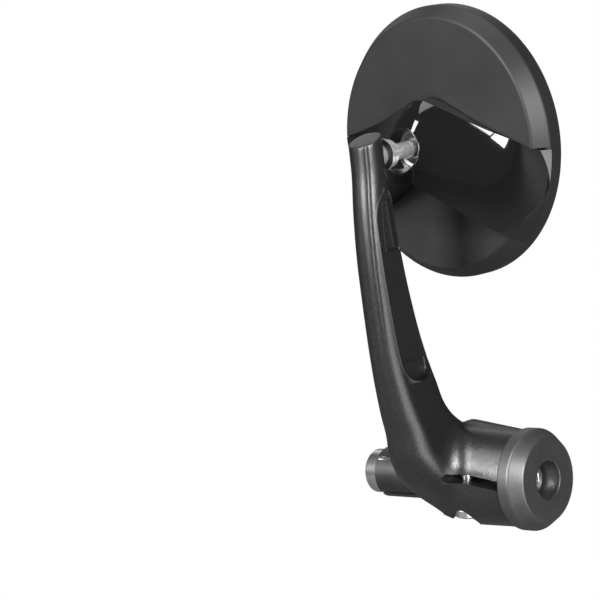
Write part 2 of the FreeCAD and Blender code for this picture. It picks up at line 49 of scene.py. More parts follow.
# a socket of a node tree: operators between sockets and numbers add Math nodes
class Sock:
    def __init__(self, finish, out):
        self.finish, self.out = finish, out

    def maths(self, operation, first, second):
        return self.finish.node("ShaderNodeMath", {"operation": operation}, {0: first, 1: second})

    def __add__(self, other):
        return self.maths("ADD", self, other)

    def __radd__(self, other):
        return self.maths("ADD", other, self)

    def __sub__(self, other):
        return self.maths("SUBTRACT", self, other)

    def __rsub__(self, other):
        return self.maths("SUBTRACT", other, self)

    def __mul__(self, other):
        return self.maths("MULTIPLY", self, other)

    def __rmul__(self, other):
        return self.maths("MULTIPLY", other, self)

    def __truediv__(self, other):
        return self.maths("DIVIDE", self, other)

    def __rtruediv__(self, other):
        return self.maths("DIVIDE", other, self)


# one material: constants go on the shader's own sockets, patterns come from node() and Sock expressions
class Finish:
    def __init__(self, name, constants):
        self.material = bpy.data.materials.new(name)
        self.material.use_nodes = True
        self.tree = self.material.node_tree
        self.shader = self.tree.nodes["Principled BSDF"]
        self.put(constants)

    def put(self, sockets, target=None):
        for key, value in sockets.items():
            socket = (target or self.shader).inputs[key]
            if isinstance(value, Sock):
                self.tree.links.new(value.out, socket)
            else:
                socket.default_value = value

    def node(self, kind, settings=None, sockets=None, output=0):
        made = self.tree.nodes.new(kind)
        for key, value in (settings or {}).items():
            if key == "stops":
                for stop in value[2:]:
                    made.color_ramp.elements.new(stop[0])
                for element, stop in zip(made.color_ramp.elements, value):
                    element.position, element.color = stop[0], stop[1]
            else:
                setattr(made, key, value)
        self.put(sockets or {}, made)
        return Sock(self, made.outputs[output])

    def place(self):
        return self.node("ShaderNodeTexCoord", output="Object")

    def grain(self, size, detail=2.0, rough=0.5):  # noise whose lumps are about `size` mm across
        sockets = {"Vector": self.place(), "Scale": 1 / (size * mm), "Detail": detail, "Roughness": rough}
        return self.node("ShaderNodeTexNoise", {"noise_dimensions": "3D"}, sockets, "Fac")

    def ramp(self, value, *stops):
        grey = [(place, (level, level, level, 1)) for place, level in stops]
        return self.node("ShaderNodeValToRGB", {"stops": grey}, {"Fac": value}, "Color")

    def blend(self, factor, dark, light):  # sockets 6 and 7 are the two colours of a colour mix
        return self.node("ShaderNodeMix", {"data_type": "RGBA"}, {0: factor, 6: dark, 7: light}, 2)

    def bump(self, height, strength, depth):  # depth in mm
        sockets = {"Height": height, "Strength": strength, "Distance": depth * mm}
        self.put({"Normal": self.node("ShaderNodeBump", None, sockets, "Normal")})

    def showAs(self, shown, end):  # the camera sees `shown`, every other ray meets the tree's own shader
        seen = self.node("ShaderNodeLightPath", output="Is Camera Ray")
        own = Sock(self, self.shader.outputs[0])
        self.put({"Surface": self.node("ShaderNodeMixShader", None, {0: seen, 1: own, 2: shown})},
                 self.tree.nodes[end])


# the room round the object, built by the same methods
class Room(Finish):
    def __init__(self, name, constants):
        self.world = bpy.data.worlds.new(name)
        self.world.use_nodes = True
        self.tree = self.world.node_tree
        self.shader = self.tree.nodes["Background"]
        self.put(constants)


def grey(level, tint=(1, 1, 1)):
    return (level * tint[0], level * tint[1], level * tint[2], 1)


# powder coat over cast alloy: sandy lumps, pinpoint glints where a lump faces the light, painted shade in the
# recess and a painted highlight on its rims
castLook = {"dark": 0.004, "light": 0.012, "edge": 0.10, "shade": 0.55, "grain": 0.45, "fine": 0.22,
            "rough": 0.25, "uneven": 0.14, "glint": 0.14, "dull": 0.12, "bump": 0.8, "depth": 0.10}


def castFinish():
    look = castLook
    f = Finish("satinCast", {"Specular IOR Level": 0.65, "IOR": 1.5})
    coarse, fine = f.grain(look["grain"], 3.0, 0.6), f.grain(look["fine"], 1.0)
    lumps = coarse * 0.6 + fine * 0.4
    glint = f.ramp(fine, (0.60, 0.0), (0.72, 1.0))
    cavity = f.node("ShaderNodeAttribute", {"attribute_name": "cavity"}, None, "Fac")
    # the edge mark: where the base colour gets a painted highlight
    edge = f.node("ShaderNodeAttribute", {"attribute_name": "edge"}, None, "Fac")
    coat = f.blend(f.ramp(lumps, (0.35, 0.0), (0.65, 1.0)), grey(look["dark"]), grey(look["light"]))
    # painted shade: the recess's base colour is pulled towards black
    coat = f.blend(cavity * look["shade"], coat, grey(look["dark"] * 0.4))
    # painted highlight: base colour lightened along the rims, speckled by the coarse grain
    f.put({"Base Color": f.blend(edge * (0.3 + 0.7 * coarse), coat, grey(look["edge"]))})
    rough = look["rough"] + look["uneven"] * coarse - look["glint"] * glint
    f.put({"Roughness": rough + look["dull"] * cavity})
    f.bump(lumps, look["bump"], look["depth"])
    return f


# matte spray paint on the shell: a very fine orange peel
shellLook = {"dark": 0.010, "light": 0.015, "grain": 0.22, "cloud": 14.0, "rough": 0.42,
             "bump": 0.35, "depth": 0.012}


def shellFinish():
    look = shellLook
    f = Finish("matteShell", {"Specular IOR Level": 0.30})
    peel, cloud = f.grain(look["grain"], 2.0), f.grain(look["cloud"], 3.0)
    f.put({"Base Color": f.blend(f.ramp(cloud * 0.5 + peel * 0.5, (0.3, 0.0), (0.7, 1.0)),
                                 grey(look["dark"]), grey(look["light"]))})
    f.put({"Roughness": look["rough"] + 0.10 * cloud})
    f.bump(peel, look["bump"], look["depth"])
    return f


# piano black: deep colour under a clear coat, with the faint waviness of a moulding
bandLook = {"colour": 0.004, "rough": 0.07, "wave": 9.0, "dust": 0.5, "coat": 0.6, "coatRough": 0.03}


def bandFinish():
    look = bandLook
    f = Finish("gloss", {"Base Color": grey(look["colour"]), "Specular IOR Level": 0.5,
                         "Coat Weight": look["coat"], "Coat Roughness": look["coatRough"]})
    wave, dust = f.grain(look["wave"], 1.0), f.grain(look["dust"], 2.0)
    f.put({"Roughness": look["rough"] + 0.05 * f.ramp(dust, (0.55, 0.0), (0.8, 1.0))})
    f.bump(wave, 0.08, 0.05)
    return f


# bright plating with handling smears
chromeLook = {"colour": 0.92, "tint": (0.99, 1.0, 0.99), "metallic": 0.86, "rough": 0.22, "smear": 1.8}


def chromeFinish():
    look = chromeLook
    colour = grey(look["colour"], look["tint"])
    f = Finish("polishedChrome", {"Base Color": colour, "Metallic": look["metallic"]})
    smear = f.grain(look["smear"], 3.0)
    f.put({"Roughness": look["rough"] + 0.05 * f.ramp(smear, (0.4, 0.0), (0.75, 1.0))})
    return f


# turned metal: fine rings round an axis, from the distance to that axis in the piece's own place;
# the axis is a point and the index of its direction, ring, depth and speck are in mm
def turnedFinish(name, axis, colour, rough, ring, depth, metallic=1.0, speck=0.0):
    point, index = axis
    f = Finish(name, {"Metallic": metallic, "Specular IOR Level": 0.5})
    spot = f.node("ShaderNodeVectorMath", {"operation": "SUBTRACT"}, {0: f.place(), 1: tuple(point)})
    flat = [1.0, 1.0, 1.0]
    flat[index] = 0.0
    across = f.node("ShaderNodeVectorMath", {"operation": "MULTIPLY"}, {0: spot, 1: tuple(flat)})
    radius = f.node("ShaderNodeVectorMath", {"operation": "LENGTH"}, {0: across}, "Value")
    along = f.node("ShaderNodeVectorMath", {"operation": "DOT_PRODUCT"},
                   {0: spot, 1: tuple(1.0 - one for one in flat)}, "Value")
    rings = f.node("ShaderNodeTexNoise", {"noise_dimensions": "1D"},
                   {"W": (radius + along * 0.83) / (ring * mm), "Scale": 1.0, "Detail": 2.0}, "Fac")
    cloud = f.grain(5.0, 3.0)
    f.put({"Base Color": f.blend(f.ramp(cloud * 0.6 + rings * 0.4, (0.3, 0.0), (0.7, 1.0)),
                                 grey(colour * 0.86), grey(colour * 1.14))})
    f.put({"Roughness": rough + 0.10 * rings + 0.06 * cloud})
    height = rings if speck == 0 else rings * 0.5 + f.grain(speck, 1.0) * 0.5
    f.bump(height, 0.4, depth)
    return f


# moulded rubber or plastic: a pale bloom in patches over fine pores
def rubberFinish(name, colour, rough):
    f = Finish(name, {"Specular IOR Level": 0.35})
    bloom, pores = f.grain(2.5, 4.0), f.grain(0.25, 1.0)
    f.put({"Base Color": f.blend(f.ramp(bloom, (0.35, 0.0), (0.7, 1.0)), grey(colour), grey(colour * 1.7))})
    f.put({"Roughness": rough + 0.15 * bloom})
    f.bump(pores, 0.3, 0.03)
    return f


# silvered glass with a trace of haze
mirrorLook = {"colour": 0.86, "tint": (0.97, 1.0, 1.03), "rough": 0.012, "haze": 22.0}


def mirrorFinish():
    look = mirrorLook
    f = Finish("silveredGlass", {"Base Color": grey(look["colour"], look["tint"]), "Metallic": 1.0})
    haze = f.grain(look["haze"], 2.0)
    f.put({"Roughness": look["rough"] + 0.02 * f.ramp(haze, (0.5, 0.0), (0.9, 1.0))})
    return f


ballPoint = Vector(next(joint for joint in frame["joints"] if joint["name"] == "head_pan")["pos_m"])
barAxis, studAxis = ((0, 0, 0), 0), (ballPoint, 1)
finishes = {
    "cap_black": turnedFinish("anodisedCap", barAxis, colour=0.10, rough=0.36, ring=0.10, depth=0.010,
                              metallic=0.85, speck=0.20),
    "bright_steel": turnedFinish("brightSteel", barAxis, colour=0.62, rough=0.20, ring=0.14, depth=0.010),
    "sleeve_alloy": turnedFinish("darkAlloy", barAxis, colour=0.10, rough=0.36, ring=0.16, depth=0.016),
    "arm_black": castFinish(),
    "washer_black": turnedFinish("blackOxide", studAxis, colour=0.02, rough=0.42, ring=0.12, depth=0.010,
                                 metallic=0.7),
    "stud_chrome": chromeFinish(),
    "cup_nylon": rubberFinish("cupNylon", colour=0.030, rough=0.42),
    "socket_steel": turnedFinish("zincSocket", studAxis, colour=0.45, rough=0.32, ring=0.12, depth=0.012),
    "shell_matte": shellFinish(),
    "band_gloss": bandFinish(),
    "carrier_plastic": rubberFinish("carrierPlastic", colour=0.030, rough=0.50),
    "pad_rubber": rubberFinish("padFoam", colour=0.030, rough=0.85),
    "mirror_face": mirrorFinish(),
    "seal_rubber": rubberFinish("sealRubber", colour=0.012, rough=0.60),
}
slotOf = {entry["node"]: entry["material_slot"] for entry in frame["record"]["subparts"]}
bodyOf = {node: body for body, held in frame["record"]["behaviour"]["bodies"].items() for node in held}
for name, thing in nodes.items():
    thing.data.materials.clear()
    thing.data.materials.append(finishes[slotOf[name]].material)
print("finishes made:", len(finishes))


# a mesh from grids of points: doubles at seams and poles are merged, faces turned outwards
def addPiece(name, node, grids, place=None, sharp=32.0, marks=None):
    points, faces, start = [], [], 0
    for verts, quads in grids:
        points.append(verts.reshape(-1, 3))
        faces.append(quads + start)
        start += len(points[-1])
    mesh = bpy.data.meshes.new(name)
    mesh.from_pydata(np.concatenate(points).tolist(), [], np.concatenate(faces).tolist())
    for mark, values in (marks or {}).items():
        held = mesh.attributes.new(mark, "FLOAT", "POINT")
        held.data.foreach_set("value", values.astype(np.float32).ravel())
    if place is not None:
        mesh.transform(place)
    return finishPiece(name, node, mesh, sharp)


def finishPiece(name, node, mesh, sharp, outwards=True):
    work = bmesh.new()
    work.from_mesh(mesh)
    bmesh.ops.remove_doubles(work, verts=work.verts, dist=2e-6)
    if outwards:
        bmesh.ops.dissolve_degenerate(work, edges=work.edges, dist=1e-7)
        bmesh.ops.recalc_face_normals(work, faces=work.faces)
    work.to_mesh(mesh)
    work.free()
    mesh.shade_smooth()
    mesh.set_sharp_from_angle(angle=radians(sharp))
    piece = bpy.data.objects.new(name, mesh)
    bpy.context.scene.collection.objects.link(piece)
    mesh.materials.clear()
    mesh.materials.append(finishes[slotOf[node]].material)
    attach(piece, bodyOf[node])
    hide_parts(node)
    return piece


# quads of a grid of rows x cols points, closed round the columns if wrap is set
def gridFaces(rows, cols, wrap=False):
    r, c = np.meshgrid(np.arange(rows - 1), np.arange(cols if wrap else cols - 1), indexing="ij")
    n = (c + 1) % cols
    return np.stack([r * cols + c, r * cols + n, (r + 1) * cols + n, (r + 1) * cols + c], -1).reshape(-1, 4)


# a turned profile with eased corners: each corner (along, radius, ease) becomes a parabola
# P(s) = (1-s)^2 A + 2s(1-s) C + s^2 B between points A and B that lie `ease` before and after it
def eased(corners, steps=7):
    spots = np.array([corner[:2] for corner in corners], float)
    eases = np.array([corner[2] for corner in corners], float)
    s = np.linspace(0, 1, steps)[:, None]
    line = []
    for i, (spot, ease) in enumerate(zip(spots, eases)):
        if ease == 0 or i in (0, len(spots) - 1):
            line.append(spot[None])
            continue
        back, ahead = spots[i - 1] - spot, spots[i + 1] - spot
        back = back / np.linalg.norm(back)
        ahead = ahead / np.linalg.norm(ahead)
        a, b = spot + back * ease, spot + ahead * ease
        curve = (1 - s) ** 2 * a + 2 * s * (1 - s) * spot + s ** 2 * b
        line.append(np.concatenate([a[None] + back * ease * 0.3, curve, b[None] + ahead * ease * 0.3]))
    return np.concatenate(line)


# surface of revolution: (r cos q, along, r sin q) for every profile point and turn angle q
def spun(profile, turns=128):
    q = np.linspace(0, 2 * pi, turns, endpoint=False)
    along, r = profile[:, :1], profile[:, 1:2]
    verts = np.stack([r * np.cos(q), along + 0 * q, r * np.sin(q)], -1) * mm
    return verts, gridFaces(len(profile), turns, True)


# a hexagonal key socket sunk into a round face: rows go from the head's edge over the hexagon to the floor,
# which is a cone whose depth is a share of the socket's
keyForm = {"chamfer": 0.15, "lead": 0.12, "cone": 0.16}


def keySocket(profile, across, face, depth, turns=192):
    chamfer, lead, cone = keyForm["chamfer"], keyForm["lead"], keyForm["cone"]
    verts, quads = spun(profile, turns)
    q = np.linspace(0, 2 * pi, turns, endpoint=False)
    flat = across / 2 / np.cos((q + pi / 6) % (pi / 3) - pi / 6)  # radius of a hexagon at angle q
    rows = [(flat + chamfer, face), (flat, face - lead), (flat, face - depth),
            (flat * 0.5, face - depth * (1 + cone / 2)), (flat * 0, face - depth * (1 + cone))]
    wall = np.stack([np.stack([r * np.cos(q), y + 0 * q, r * np.sin(q)], -1) for r, y in rows]) * mm
    rim = verts[-1:]
    socket = np.concatenate([rim, wall])
    return [(verts, quads), (socket, gridFaces(len(socket), turns, True))]


# the head rests turned on its ball; the bar's pieces turn about X
headTurn = {"pan": -5.0, "roll": 5.4}
headPlace = (Matrix.Translation(ballPoint) @ Matrix.Rotation(radians(headTurn["pan"]), 4, "Z")
             @ Matrix.Rotation(radians(headTurn["roll"]), 4, "Y"))
studPlace = Matrix.Translation(ballPoint)
barPlace = Matrix.Rotation(radians(-90), 4, "Z")

# camera at the photograph's viewing angle
cameraSpot = {"place": (463.5, -568.7, 158.9), "right": (0.736, 0.665, -0.126),
              "ahead": (-0.677, 0.726, -0.125), "lens": 132.0, "sensor": 36.0, "clip": (0.01, 20.0)}


def addCamera():
    c = cameraSpot
    ahead = Vector(c["ahead"]).normalized()
    right = Vector(c["right"])
    right = (right - ahead * right.dot(ahead)).normalized()
    up = right.cross(ahead)
    data = bpy.data.cameras.new("camera")
    data.lens, data.sensor_width, data.sensor_height = c["lens"], c["sensor"], c["sensor"]
    data.clip_start, data.clip_end = c["clip"]
    camera = bpy.data.objects.new("camera", data)
    turn = Matrix((right, up, -ahead)).transposed().to_4x4()
    camera.matrix_world = Matrix.Translation(Vector(c["place"]) * mm) @ turn
    bpy.context.scene.collection.objects.link(camera)
    bpy.context.scene.camera = camera


# softboxes: place and aim in metres, size in metres, power in watts
lights = {
    "frontBox": {"place": (-0.26, -1.07, 0.46), "aim": (0, 0, 0.10), "size": (0.44, 0.44), "power": 17},
    "sideBox": {"place": (0.93, -0.60, 0.44), "aim": (0, 0, 0.10), "size": (0.34, 0.46), "power": 23},
    "topFront": {"place": (-0.16, -0.74, 0.94), "aim": (0, 0, 0.10), "size": (0.34, 0.66), "power": 11},
    "overhead": {"place": (-0.10, 0.15, 1.10), "aim": (0, 0, 0.05), "size": (0.60, 0.60), "power": 2.5},
    "backdrop": {"place": (-0.78, 0.95, 0.78), "aim": (0, 0, 0.08), "size": (1.20, 0.50), "power": 1.8},
    "floorGlow": {"place": (0.34, -0.12, -0.14), "aim": (0.2, -0.08, 0.2), "size": (0.42, 0.60), "power": 3},
}
studio = {"tint": (0.9, 0.95, 1.0), "strength": 0.06}  # the room's own light on the object


def addLights():
    for name, box in lights.items():
        data = bpy.data.lights.new(name, "AREA")
        data.shape = "RECTANGLE"
        data.size, data.size_y = box["size"]
        data.energy = box["power"]
        lamp = bpy.data.objects.new(name, data)
        lamp.visible_camera = False
        lamp.location = box["place"]
        aim = Vector(box["aim"]) - Vector(box["place"])
        lamp.rotation_euler = aim.to_track_quat("-Z", "Y").to_euler()
        bpy.context.scene.collection.objects.link(lamp)
    room = Room("studio", {"Color": grey(1.0, studio["tint"]), "Strength": studio["strength"]})
    white = room.node("ShaderNodeBackground", None, {"Color": grey(1.0), "Strength": 1.0})
    room.showAs(white, "World Output")
    bpy.context.scene.world = room.world


# plain pale floor: it lights the object softly, but reflects darker, and the camera sees it white
floorSpot = {"level": -0.16, "half": 3.0, "pale": 0.30, "mirrored": 0.12}


def addFloor():
    half, z = floorSpot["half"], floorSpot["level"]
    mesh = bpy.data.meshes.new("floor")
    corners = [(-half, -half, z), (half, -half, z), (half, half, z), (-half, half, z)]
    mesh.from_pydata(corners, [], [(0, 1, 2, 3)])
    floor = bpy.data.objects.new("floor", mesh)
    bpy.context.scene.collection.objects.link(floor)
    f = Finish("paleFloor", {"Roughness": 0.9})
    glossy = f.node("ShaderNodeLightPath", output="Is Glossy Ray")
    f.put({"Base Color": f.blend(glossy, grey(floorSpot["pale"]), grey(floorSpot["mirrored"]))})
    white = f.node("ShaderNodeEmission", None, {"Color": grey(1.0), "Strength": 1.0})
    f.showAs(white, "Material Output")
    mesh.materials.append(f.material)


addCamera()
addLights()
addFloor()
bpy.context.scene.view_settings.view_transform = "Standard"
bpy.context.scene.view_settings.look = "None"
print("camera, lights and floor set")


# copies of nodes whose shape stays: merged, and shaded smooth between sharp edges by face area
def smoothCopy(node, sharp=28.0, below=None):
    mesh = nodes[node].data.copy()
    if below is not None:  # keep only what lies under this height
        work = bmesh.new()
        work.from_mesh(mesh)
        whole = work.verts[:] + work.edges[:] + work.faces[:]
        bmesh.ops.bisect_plane(work, geom=whole, plane_co=(0, 0, below), plane_no=(0, 0, 1), clear_outer=True)
        work.to_mesh(mesh)
        work.free()
    piece = finishPiece(node.split("_")[0] + "Smooth", node, mesh, sharp, outwards=False)
    even = piece.modifiers.new("even", "WEIGHTED_NORMAL")
    even.keep_sharp = True
    even.weight = 50


for node in ("expander_sleeve", "screw_washer", "ball_socket"):
    smoothCopy(node)
print("smooth copies made")


# cubic Hermite curve through rows of (position, value), with the mean slopes of its neighbours
def hermite(at, value, x):
    lean = np.gradient(value, at)
    x = np.clip(x, at[0], at[-1] - 1e-6)
    i = np.searchsorted(at, x, side="right") - 1
    step = at[i + 1] - at[i]
    s = (x - at[i]) / step
    return ((2 * s ** 3 - 3 * s ** 2 + 1) * value[i] + (s ** 3 - 2 * s ** 2 + s) * step * lean[i]
            + (3 * s ** 2 - 2 * s ** 3) * value[i + 1] + (s ** 3 - s ** 2) * step * lean[i + 1])


# the same for half rows, even about the middle
def through(rows, x):
    at, value = np.array(rows, float).T
    return hermite(np.concatenate([-at[:0:-1], at]), np.concatenate([value[:0:-1], value]), x)


# smooth step from 0 at t = -1 to 1 at t = 1
def stepUp(t):
    s = np.clip((t + 1) / 2, 0, 1)
    return s * s * (3 - 2 * s)


# cast arm above its clamp: stations of (height, front, back, half width, corner) in mm, bottom first
armCast = {
    "stations": [(15.99, -31.06, 2.46, 8.85, 6.94), (21.39, -31.90, -5.00, 8.12, 6.50),
                 (25.90, -33.13, -9.08, 7.62, 6.16), (36.03, -34.88, -12.99, 6.72, 5.26),
                 (47.85, -36.34, -16.39, 5.99, 4.93), (64.74, -37.01, -19.79, 5.66, 4.70),
                 (81.63, -37.04, -21.99, 5.60, 4.70), (95.71, -36.21, -22.99, 5.60, 5.04),
                 (108.10, -34.79, -23.27, 5.60, 5.15), (115.98, -34.47, -23.87, 5.60, 4.93),
                 (123.86, -34.10, -24.53, 5.60, 4.70)],
    "middle": -2.0, "clamp": 25.898, "seat": -24.3, "seatFrom": 102.0, "seatFade": 4.0, "columns": 128,
    "top": (-28.6, 118.6), "topSlope": 21.5, "flat": 104.5, "edge": 0.5,
    "groove": {"turn": 38.0, "deep": 0.10, "half": 0.45, "fade": (45.0, 75.0)},
    "recess": {"top": 102.5, "foot": 45.0, "bottom": 37.7, "land": (2.3, 4.7), "landTo": 42.3,
               "tip": (4.8, 3.0), "tipLength": 12.4, "back": 1.6, "deep": 1.1, "pocket": 2.8,
               "footStep": 0.15, "wall": 0.28},
    "slot": {"from": 80.5, "ramp": 2.4, "to": 99.0, "end": 0.6, "front": 3.6, "tip": 2.2, "back": 0.5,
             "deep": 3.0},
    "rimHighlight": {"shift": 0.2, "wide": 0.35, "slotWide": 0.3, "slotShare": 0.6},
}


# front, back, outer side, half width and corner radius of the section at height z
def armSection(z):
    at, *values = np.array(armCast["stations"]).T
    front, back, half, corner = [hermite(at, value, z) for value in values]
    seat = stepUp((z - armCast["seatFrom"]) / armCast["seatFade"])
    back = back + (np.minimum(back, armCast["seat"]) - back) * seat  # flat seat of the stud's washer
    return front, back, armCast["middle"] + half, half, corner


# edges of the recess and of its slot along Y, and their depths, at height z: below the foot the recess is a
# pocket that closes as a U, half width (1 - q^2.4)^(1/2)
def armFlank(z):
    r, s = armCast["recess"], armCast["slot"]
    front, back = armSection(z)[:2]
    land = r["land"][0] + (r["land"][1] - r["land"][0]) * (r["top"] - z) / (r["top"] - r["landTo"])
    tip = np.clip((z - r["top"]) / r["tipLength"] + 1, 0, 1)
    ahead = front + land + r["tip"][0] * tip ** 3
    behind = back - r["back"] - r["tip"][1] * tip ** 6
    q = np.clip((r["foot"] - z) / (r["foot"] - r["bottom"]), 0, 1)
    half = np.maximum(behind - ahead, 0) / 2 * np.sqrt(1 - q ** 2.4)
    centre = (ahead + behind) / 2
    ahead, behind = centre - half, centre + half
    width = np.clip(half / (2 * r["wall"]), 0, 1)    # 0 where the recess has closed
    deep = (r["pocket"] + (r["deep"] - r["pocket"]) * stepUp((z - r["foot"]) / r["footStep"])) * width
    slotAhead = front + land + s["front"] + s["tip"] * tip ** 2
    slotAhead = np.clip(slotAhead, ahead + r["wall"] * 2, centre + half * 0.9)
    slotBehind = np.maximum(behind - s["back"] * width, slotAhead)
    slotDeep = s["deep"] * stepUp((z - s["from"]) / s["ramp"] * 2 - 1) * stepUp((s["to"] - z) / s["end"] - 1)
    return ahead, behind, deep, slotAhead, slotBehind, slotDeep * width, width


# x of the outer flank: the rounded section, cut down to the recess and the slot with drafted walls
def armSide(y, z):
    front, back, right, _, corner = armSection(z)
    ahead, behind, deep, slotAhead, slotBehind, slotDeep, _ = armFlank(z)
    wall = armCast["recess"]["wall"]
    past = np.clip(np.maximum(front + corner - y, y - back + corner), 0, corner)
    x = right - corner + np.sqrt(corner ** 2 - past ** 2)
    cut = stepUp((y - ahead) / wall) * stepUp((behind - y) / wall)
    x = x - np.maximum(x - (right - deep), 0) * cut
    cut = stepUp((y - slotAhead) / wall) * stepUp((slotBehind - y) / wall)
    return x - np.maximum(x - (right - slotDeep), 0) * cut


# one closed ring of columns round the arm at the heights z (rows x columns): flank, front, inner side, back
def armRing(z):
    g, wall = armCast["groove"], armCast["recess"]["wall"]
    spread = wall * np.array([1.3, 0.8, 0.4, 0.0, -0.4, -0.8, -1.3])  # close columns across a drafted wall
    clear = 1.4 * wall
    turn = -radians(90 - g["turn"])
    near = 0.3 * g["half"]                          # half the angle over which the groove has close columns
    xs, ys, used = [], [], [0]

    def take(count):
        part = z[:, used[0]:used[0] + count]
        used[0] += count
        return part

    def arc(count, start, end, across, along):  # columns round a corner, between two angles
        h = take(count)
        front, back, _, half, corner = armSection(h)
        a = start(h) + (end(h) - start(h)) * np.linspace(0, 1, count, endpoint=False)
        radius = corner
        if across > 0 and along < 0:  # the groove lies astride the front outer corner
            deep = g["deep"] * stepUp((h - np.mean(g["fade"])) / (np.ptp(g["fade"]) / 2))
            radius = corner - deep * np.exp(-((a - turn) * corner / g["half"]) ** 2)
        xs.append(armCast["middle"] + across * (half - corner) + radius * np.cos(a))
        ys.append((front + corner if along < 0 else back - corner) + radius * np.sin(a))

    def edgeAngle(h, back):  # angle on a corner where the recess's edge lies
        front, rear, _, _, corner = armSection(h)
        ahead, behind = armFlank(h)[:2]
        past = behind + clear - (rear - corner) if back else ahead - clear - (front + corner)
        return np.arcsin(np.clip(past / corner, 0 if back else -0.98, 0.98 if back else 0))

    def rearEdge(h):
        return edgeAngle(h, True)

    def frontEdge(h):
        return edgeAngle(h, False)

    def grooveEdge(h):
        return np.minimum(turn + near, frontEdge(h) - 0.02)

    def line(picks):  # columns of the flank at given places y, one function of the height each
        h = take(len(picks))
        y = np.stack([pick(h[:, i]) for i, pick in enumerate(picks)], -1)
        xs.append(armSide(y, h))
        ys.append(y)

    def beside(index, shift):
        return lambda h: armFlank(h)[index] + shift * armFlank(h)[6]

    def amid(one, other, share):
        return lambda h: armFlank(h)[one] * (1 - share) + armFlank(h)[other] * share

    def side(count, begin, finish):  # columns along a flat side, between two corners named by their x and y
        h = take(count)
        s = np.linspace(0, 1, count, endpoint=False)
        front, back, right, half, corner = armSection(h)
        left = armCast["middle"] - half
        spots = {"left": left, "right": right, "front": front, "back": back, "leftArc": left + corner,
                 "rightArc": right - corner, "frontArc": front + corner, "backArc": back - corner}
        for held, one, other in zip((xs, ys), begin, finish):
            held.append(spots[one] + (spots[other] - spots[one]) * s)

    arc(10, lambda h: pi / 2, rearEdge, 1, 1)
    line([beside(1, shift) for shift in spread])
    line([amid(1, 4, share) for share in (0.35, 0.65)])
    line([beside(4, shift) for shift in spread])
    line([amid(4, 3, share) for share in (0.25, 0.5, 0.75)])
    line([beside(3, shift) for shift in spread])
    line([amid(3, 0, share) for share in (0.2, 0.4, 0.6, 0.8)])
    line([beside(0, shift) for shift in spread])
    arc(10, frontEdge, grooveEdge, 1, -1)
    arc(12, grooveEdge, lambda h: turn - near, 1, -1)
    arc(7, lambda h: turn - near, lambda h: -pi / 2, 1, -1)
    side(8, ("rightArc", "front"), ("leftArc", "front"))
    arc(14, lambda h: -pi / 2, lambda h: -pi, -1, -1)
    side(8, ("left", "frontArc"), ("left", "backArc"))
    arc(14, lambda h: pi, lambda h: pi / 2, -1, 1)
    side(8, ("leftArc", "back"), ("rightArc", "back"))
    return np.concatenate(xs, 1), np.concatenate(ys, 1)


# rows of rings up to the slanted top, then a rounded edge and a lid that closes on the top's middle
def addArm():
    a = armCast
    foot, bottom, tip = (a["recess"][key] for key in ("foot", "bottom", "top"))
    ramp, count = a["slot"]["from"], a["columns"]
    # close rows where the flank has steps
    spans = [(a["clamp"] - 0.02, bottom - 1, 10), (bottom - 0.7, foot - 0.5, 30),
             (foot - 0.25, foot + 0.25, 7), (foot + 0.5, ramp - 1, 38), (ramp - 0.7, ramp + 3.1, 16),
             (ramp + 3.5, tip - 6.5, 14), (tip - 6.2, tip + 0.3, 28), (tip + 0.7, a["flat"], 4)]
    heights = np.concatenate([np.linspace(*span) for span in spans])
    z = np.repeat(heights[:, None], count, 1)
    climb = np.linspace(0, 1, 12)[1:, None]
    lift = np.repeat(a["flat"] + (a["top"][1] - a["flat"]) * climb, count, 1)
    slope = tan(radians(a["topSlope"]))
    for _ in range(6):  # the last rows climb to the slanted top
        x, y = armRing(lift)
        lift = a["flat"] + (a["top"][1] + slope * (y - a["top"][0]) - a["edge"] - a["flat"]) * climb
    z = np.concatenate([z, lift])
    x, y = armRing(z)
    grid = np.stack([x, y, z], -1)
    loop = grid[-1]
    centre = loop.mean(0)
    away = np.hypot(*(loop - centre).T[:2])[:, None]
    rows = []
    for turn in np.linspace(0, pi / 2, 6)[1:]:  # rounded edge of the top, a quarter circle
        inwards, rise = a["edge"] * (1 - np.cos(turn)) / away, a["edge"] * np.sin(turn)
        rows.append(np.concatenate([inwards, 0 * away + rise], 1))
    rows += [np.concatenate([0 * away + share, 0 * away + a["edge"]], 1) for share in (0.4, 0.7, 1.0)]
    lid = []
    for row in rows:
        flat = loop + (centre - loop) * row[:, :1]
        flat[:, 2] = a["top"][1] + slope * (flat[:, 1] - a["top"][0]) - a["edge"] + row[:, 1]
        lid.append(flat)
    # marks for the finish: 1 in the recess, where the base colour gets painted shade, and 1 along the front rims
    # of the recess and slot, where it gets a painted highlight
    ahead, behind, _, slotAhead, _, slotDeep, width = armFlank(z)
    wall = a["recess"]["wall"]
    outer = x > a["middle"]
    cavity = stepUp((y - ahead) / wall - 1) * stepUp((behind - y) / wall - 1) * width * outer
    rimHighlight = a["rimHighlight"]
    # painted highlight along the recess's front rim, and fainter along the slot's
    rim = np.exp(-((y - ahead + rimHighlight["shift"]) / rimHighlight["wide"]) ** 2)
    slotHighlight = rimHighlight["slotShare"] * np.exp(-((y - slotAhead + rimHighlight["shift"]) / rimHighlight["slotWide"]) ** 2)
    slotHighlight = slotHighlight * (slotDeep > a["slot"]["deep"] / 2)
    rim = np.clip((rim + slotHighlight) * width * outer, 0, 1)
    spare = np.zeros((len(lid), count))
    marks = {"cavity": np.concatenate([cavity, spare]), "edge": np.concatenate([rim, spare])}
    grid = np.concatenate([grid, np.stack(lid)])
    smoothCopy("arm", 28.0, a["clamp"] * mm)
    addPiece("castArm", "arm", [(grid * mm, gridFaces(len(grid), count, True))], None, 50.0, marks)


addArm()
print("arm made")

